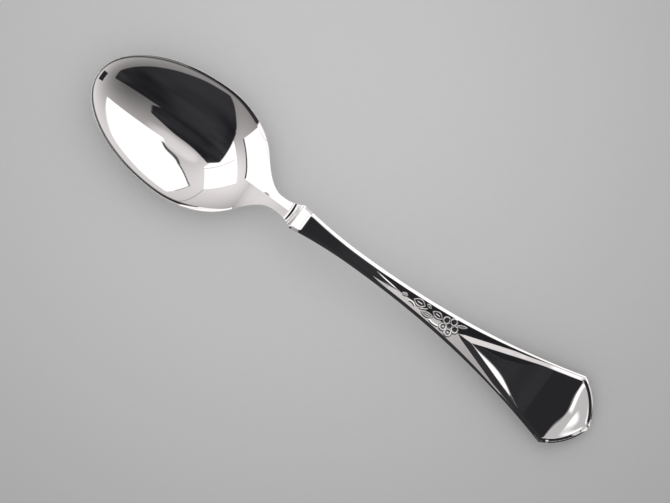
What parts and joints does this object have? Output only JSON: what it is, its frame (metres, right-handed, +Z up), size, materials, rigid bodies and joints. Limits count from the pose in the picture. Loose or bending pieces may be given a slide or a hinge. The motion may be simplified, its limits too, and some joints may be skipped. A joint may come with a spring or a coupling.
{
  "type": "soup spoon",
  "caption": "Polished table spoon with an egg-shaped bowl, slim neck and hollow handle with grooved relief and a pointed shield end, for eating soup.",
  "frame": {"origin": "on the table, below the middle of the spoon's length and width", "axes": "+X from the bowl's tip to the handle's point, +Y across, +Z up out of the bowl"},
  "size_m": [0.195, 0.0416, 0.0189],
  "materials": {
    "polished_silver": "mirror-polished silver with fine wear",
    "setting_cement": "dull brown setting cement"
  },
  "bodies": {
    "root": {"bowl": "polished_silver", "handle_front": "polished_silver", "handle_back": "polished_silver", "handle_core": "setting_cement"}
  },
  "joints": []
}
